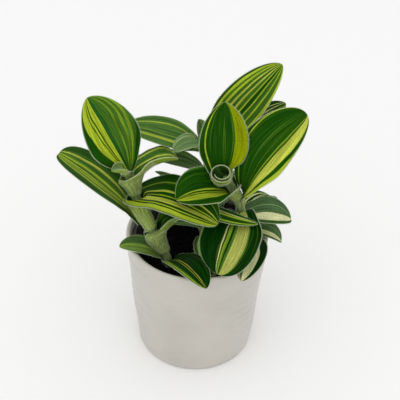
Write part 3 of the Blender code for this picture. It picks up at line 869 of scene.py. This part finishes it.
def put(tree, kind, inputs=None, **settings):
    """Adds a shader node with its settings and inputs."""
    made = tree.nodes.new(kind)
    for key, value in settings.items():
        setattr(made, key, value)
    fill(tree, made, inputs or {})
    return made


def maths(tree, operation, a, b=0.0):
    """One sum in the shader."""
    return put(tree, "ShaderNodeMath", {0: a, 1: b}, operation=operation).outputs[0]


def remap(tree, value, low, high, to_low=0.0, to_high=1.0):
    """A smooth step of the value from low to high, between two results."""
    inputs = {"Value": value, "From Min": low, "From Max": high, "To Min": to_low, "To Max": to_high}
    return put(tree, "ShaderNodeMapRange", inputs, interpolation_type="SMOOTHSTEP").outputs[0]


def mix(tree, factor, a, b, blend="MIX"):
    """Blends two colours; sockets 6 and 7 take colours, and output 2 gives one."""
    inputs = {0: factor, 6: a, 7: b}
    return put(tree, "ShaderNodeMix", inputs, data_type="RGBA", blend_type=blend).outputs[2]


def noise(tree, vector, scale, detail=2.0):
    """Soft random values about 0.5 at each place."""
    made = put(tree, "ShaderNodeTexNoise", {"Vector": vector, "Scale": scale, "Detail": detail})
    return made.outputs["Fac"]


def body_place(tree):
    """The place on the whole object, in metres."""
    return put(tree, "ShaderNodeTexCoord").outputs["Object"]


def blade_place(tree, u, v, across, along, layer):
    """The place on a blade with u and v scaled, in a layer of the noise of its own."""
    scaled = {0: maths(tree, "MULTIPLY", u, across), 1: maths(tree, "MULTIPLY", v, along), 2: layer}
    return put(tree, "ShaderNodeCombineXYZ", scaled).outputs[0]


def add_bump(tree, shader, height, strength, distance):
    """Fine relief by the height, whose full range is this distance in metres."""
    bump = put(tree, "ShaderNodeBump", {"Height": height, "Strength": strength, "Distance": distance})
    tree.links.new(bump.outputs[0], shader.inputs["Normal"])


def stripe_ramp(tree, place, stripes):
    """Bands across the leaf with softly drawn edges."""
    made = put(tree, "ShaderNodeValToRGB", {"Fac": place})
    stops = []
    start = 0.0
    for limit, tone in stripes:
        end = (limit + 1) / 2
        stops += [(start + BAND_SOFTNESS, tone), (end - BAND_SOFTNESS, tone)]
        start = end
    stops[0] = (0.0, stops[0][1])
    stops[-1] = (1.0, stops[-1][1])
    elements = made.color_ramp.elements
    for _ in range(len(stops) - 2):
        elements.new(0.5)
    for element, (position, tone) in zip(elements, stops):
        element.position = position
        element.color = solid(TONES[tone])
    return made.outputs["Color"]


def leaf_bands(tree, form, u, v, seed):
    """The leaf's stripes, read at u after it is fanned about the midrib and swayed by slow noise."""
    slow = noise(tree, blade_place(tree, u, v, 2.5, 1.6, seed * 1.7), 1.5)
    sway = maths(tree, "MULTIPLY", maths(tree, "SUBTRACT", slow, 0.5), BAND_SWAY)
    spread = remap(tree, v, 0.0, 1.0, 1 + form["fan"] / 2, 1 - form["fan"] / 2)
    fanned = maths(tree, "ADD", maths(tree, "MULTIPLY", maths(tree, "SUBTRACT", u, 0.5), spread), 0.5)
    return stripe_ramp(tree, maths(tree, "ADD", fanned, sway), form["stripes"])


def leaf_colour(tree, form, u, v, seed):
    """Stripes and faint veins, greyed by down above, and pale below with the stem's tone at the base."""
    stripes = leaf_bands(tree, form, u, v, seed)
    veins = noise(tree, blade_place(tree, u, v, VEINS_ACROSS, 1.0, seed * 2.3), 1.0, 1.0)
    above = mix(tree, remap(tree, veins, 0.56, 0.72, 0.0, 0.2), stripes, solid(TONES["olive"]))
    if form["fuzz"]:
        above = mix(tree, form["fuzz"], above, solid(TONES["grey"]))
    below = mix(tree, 0.62, stripes, solid(UNDERSIDE))
    below = mix(tree, remap(tree, veins, 0.42, 0.62, 0.0, 0.25), below, solid(TONES["green"]))
    below = mix(tree, remap(tree, v, -0.5, 0.1, 0.6, 0.0), below, solid(PALE_STEM))
    upper = put(tree, "ShaderNodeAttribute", attribute_name="upper_face").outputs["Fac"]
    return mix(tree, upper, below, above)


def leaf_look(name, form, seed):
    """The leaf's colour under fine streaks and a satin mottle, with a pale edge and a low midrib."""
    look, tree, shader = new_look(name + "_striped_leaf")
    place = put(tree, "ShaderNodeUVMap", uv_map="blade").outputs[0]
    parts = put(tree, "ShaderNodeSeparateXYZ", {0: place})
    u, v = parts.outputs[0], parts.outputs[1]
    streaks = noise(tree, blade_place(tree, u, v, STREAKS_ACROSS, STREAKS_ALONG, seed * 3.1), 1.0, 3.0)
    mottle = noise(tree, body_place(tree), MOTTLE_SCALE, 1.0)
    from_middle = maths(tree, "ABSOLUTE", maths(tree, "SUBTRACT", u, 0.5))

    colour = leaf_colour(tree, form, u, v, seed)
    colour = mix(tree, 1.0, colour, remap(tree, streaks, 0.3, 0.7, 0.6, 1.36), "MULTIPLY")
    colour = mix(tree, 1.0, colour, remap(tree, mottle, 0.3, 0.7, 0.88, 1.12), "MULTIPLY")
    edge = remap(tree, from_middle, MARGIN_START, MARGIN_FULL, 0.0, 0.5)
    colour = mix(tree, edge, colour, solid(MARGIN))
    if form["furled"]:
        colour = mix(tree, remap(tree, v, 0.88, 1.0, 0.0, 0.5), colour, solid(MARGIN))
    rough = remap(tree, mottle, 0.3, 0.7, 0.36, 0.52)
    fill(tree, shader, {"Base Color": colour, "Roughness": rough, "Specular IOR Level": LEAF_SHINE})

    rib = remap(tree, from_middle, 0.0, 0.02, 0.0, 0.6)
    height = maths(tree, "ADD", maths(tree, "ADD", streaks, rib), maths(tree, "MULTIPLY", mottle, 0.5))
    add_bump(tree, shader, height, 0.35, 0.0004)
    return look


def hair_look():
    """Silvery hairs between two pale tones, with a little sheen."""
    look, tree, shader = new_look("silver_hairs")
    tint = mix(tree, noise(tree, body_place(tree), 300.0), solid(HAIR), solid(MARGIN))
    fill(tree, shader, {"Base Color": tint, "Roughness": 0.5, "Sheen Weight": 0.3})
    return look


def stem_look():
    """Pale green skin with long faint streaks and darker flecks."""
    look, tree, shader = new_look("pale_hairy_stem")
    body = body_place(tree)
    drawn_out = put(tree, "ShaderNodeMapping", {"Vector": body, "Scale": (1.0, 1.0, 0.12)}).outputs[0]
    streaks = noise(tree, drawn_out, 900.0, 3.0)
    flecks = noise(tree, body, 500.0)
    colour = mix(tree, remap(tree, streaks, 0.35, 0.65), solid(STEM_STREAK), solid(PALE_STEM))
    colour = mix(tree, remap(tree, flecks, 0.6, 0.75, 0.0, 0.5), colour, solid(STEM_FLECK))
    fill(tree, shader, {"Base Color": colour, "Roughness": 0.5, "Sheen Weight": 0.3})
    add_bump(tree, shader, streaks, 0.3, 0.0003)
    return look


def glaze_look():
    """Warm off-white glaze with a soft shine, faint clouds of tone, specks and a fine orange-peel surface."""
    look, tree, shader = new_look("off_white_ridged_glaze")
    body = body_place(tree)
    clouds = noise(tree, body, 28.0, 3.0)
    specks = noise(tree, body, 900.0, 1.0)
    colour = mix(tree, remap(tree, clouds, 0.35, 0.65), solid(GLAZE_SHADE), solid(GLAZE_LIGHT))
    colour = mix(tree, remap(tree, specks, 0.72, 0.8, 0.0, 0.25), colour, solid(GLAZE_SPECK))
    fill(tree, shader, {"Base Color": colour, "Roughness": remap(tree, clouds, 0.3, 0.7, 0.4, 0.5)})
    fill(tree, shader, {"Coat Weight": 0.5, "Coat Roughness": 0.35})
    add_bump(tree, shader, noise(tree, body, 450.0), 0.12, 0.0003)
    return look


def plastic_look():
    """Black moulded plastic with dust on it."""
    look, tree, shader = new_look("black_moulded_plastic")
    dust = noise(tree, body_place(tree), 220.0, 4.0)
    colour = mix(tree, remap(tree, dust, 0.5, 0.75, 0.0, 0.6), solid(PLASTIC), solid(PLASTIC_DUST))
    fill(tree, shader, {"Base Color": colour, "Roughness": remap(tree, dust, 0.3, 0.7, 0.38, 0.6)})
    add_bump(tree, shader, dust, 0.2, 0.0002)
    return look


def soil_look():
    """Dark moist potting soil, near-black with painted shade, between slightly lighter brown grains, with
    deep fine relief.
    """
    look, tree, shader = new_look("crumbly_soil_painted_shade")
    grains = noise(tree, body_place(tree), 420.0, 5.0)
    colour = mix(tree, remap(tree, grains, 0.4, 0.7), solid(SOIL_PAINTED_SHADE), solid(SOIL_GRAIN))
    fill(tree, shader, {"Base Color": colour, "Roughness": 0.95, "Specular IOR Level": 0.1})
    add_bump(tree, shader, grains, 0.9, 0.0012)
    return look


def make_stage():
    """A plain pale floor, a pale even surround and one broad soft light from the upper left front."""
    look, tree, shader = new_look("pale_floor")
    fill(tree, shader, {"Base Color": solid(PALE_FLOOR), "Roughness": 0.9, "Specular IOR Level": 0.0})
    data = bpy.data.meshes.new("floor")
    corners = [(x * FLOOR_REACH, y * FLOOR_REACH, 0) for x, y in ((-1, -1), (1, -1), (1, 1), (-1, 1))]
    data.from_pydata(corners, [], [(0, 1, 2, 3)])
    data.materials.append(look)
    floor = bpy.data.objects.new("floor", data)
    bpy.context.scene.collection.objects.link(floor)

    world = bpy.data.worlds.new("pale_surround")
    world.use_nodes = True
    background = world.node_tree.nodes["Background"]
    fill(world.node_tree, background, {"Color": (1.0, 1.0, 1.0, 1.0), "Strength": SURROUND})
    bpy.context.scene.world = world

    light = bpy.data.lights.new("soft_light", "AREA")
    light.shape = "DISK"
    light.size = LAMP_SIZE
    light.energy = LAMP_POWER
    lamp = bpy.data.objects.new("soft_light", light)
    lamp.location = LAMP_PLACE
    lamp.rotation_euler = (Vector(LAMP_TARGET) - lamp.location).to_track_quat("-Z", "Y").to_euler()
    bpy.context.scene.collection.objects.link(lamp)


def make_camera():
    """The camera looks down at the plant and is turned a little about its view line."""
    down = np.radians(CAMERA_DOWN)
    forward = Vector((0.0, np.cos(down), -np.sin(down)))
    right = Vector((1.0, 0.0, 0.0))
    up = right.cross(forward)
    turn = Matrix.Rotation(-np.radians(CAMERA_ROLL), 4, forward)
    right, up = turn @ right, turn @ up
    data = bpy.data.cameras.new("camera")
    data.lens = CAMERA_LENS
    data.sensor_width = CAMERA_SENSOR
    data.clip_start = 0.01
    camera = bpy.data.objects.new("camera", data)
    axes = Matrix((right, up, -forward)).transposed().to_4x4()
    camera.matrix_world = Matrix.Translation(Vector(CAMERA_TARGET) - CAMERA_DISTANCE * forward) @ axes
    bpy.context.scene.collection.objects.link(camera)
    bpy.context.scene.camera = camera


def build_plant():
    """Every leaf with a look of its own, then the stems with all hairs."""
    hairs, skin = hair_look(), stem_look()
    for seed, (name, form) in enumerate(LEAVES.items()):
        make_leaf(name, form, leaf_look(name, form, seed))
    for name, points in STEMS.items():
        make_stem(name, points, skin)
        make_hairs(name, points, hairs)


def build_pots():
    """Both pots replace their CAD nodes; the CAD soil stays, with a new look and lumps on it."""
    glaze = turned_surface("glazed_pot", pot_profile(), glaze_look(), pot_bulge)
    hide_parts("ceramic_pot")
    inner = turned_surface("moulded_inner_pot", inner_pot_profile(), plastic_look())
    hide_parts("nursery_pot")
    soil = soil_look()
    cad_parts["soil"].data.materials.clear()
    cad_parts["soil"].data.materials.append(soil)
    make_crumbs(soil)


build_plant()
build_pots()
make_stage()
make_camera()
bpy.context.scene.view_settings.view_transform = "Standard"
